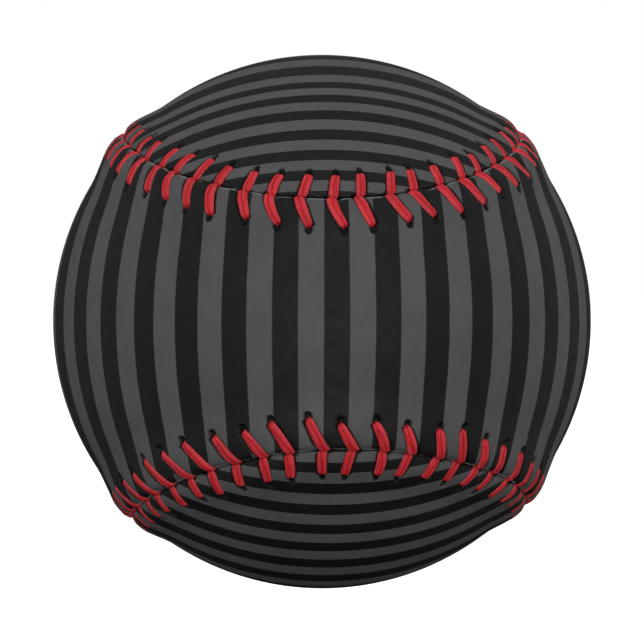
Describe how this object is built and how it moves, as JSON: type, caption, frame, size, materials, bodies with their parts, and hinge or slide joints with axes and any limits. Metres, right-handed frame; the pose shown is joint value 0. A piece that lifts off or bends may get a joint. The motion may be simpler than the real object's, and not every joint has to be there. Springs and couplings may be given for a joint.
{
  "type": "baseball",
  "caption": "Baseball with a cork and rubber core, wound yarn layers and a raised, cross-stitched seam joining two figure-of-eight leather panels.",
  "frame": {"origin": "the ball's centre", "axes": "+Y runs from the middle of panel A's waist to the middle of panel B's waist; panel A's lobes lie at +X and -X, panel B's at +Z and -Z"},
  "size_m": [0.0738, 0.0738, 0.0738],
  "materials": {
    "cover_leather_a": "smooth grey leather with printed near-black stripes",
    "cover_leather_b": "smooth grey leather with narrower printed near-black stripes",
    "waxed_thread": "two-ply waxed cotton",
    "finish_yarn": "fine wound cotton and polyester yarn under a thin coat of adhesive",
    "grey_wool": "wound wool yarn",
    "white_wool": "wound wool yarn",
    "red_rubber": "matt moulded rubber",
    "black_rubber": "matt moulded rubber",
    "cork": "composition cork"
  },
  "bodies": {
    "root": {"cover_panel_a": "cover_leather_a", "cover_panel_b": "cover_leather_b", "thread_1": "waxed_thread", "thread_2": "waxed_thread", "winding_4_finish_yarn": "finish_yarn", "winding_3_grey_wool": "grey_wool", "winding_2_white_wool": "white_wool", "winding_1_grey_wool": "grey_wool", "outer_rubber_back": "red_rubber", "outer_rubber_front": "red_rubber", "gasket_ring": "red_rubber", "inner_rubber_back": "black_rubber", "inner_rubber_front": "black_rubber", "cork_core": "cork"}
  },
  "joints": []
}
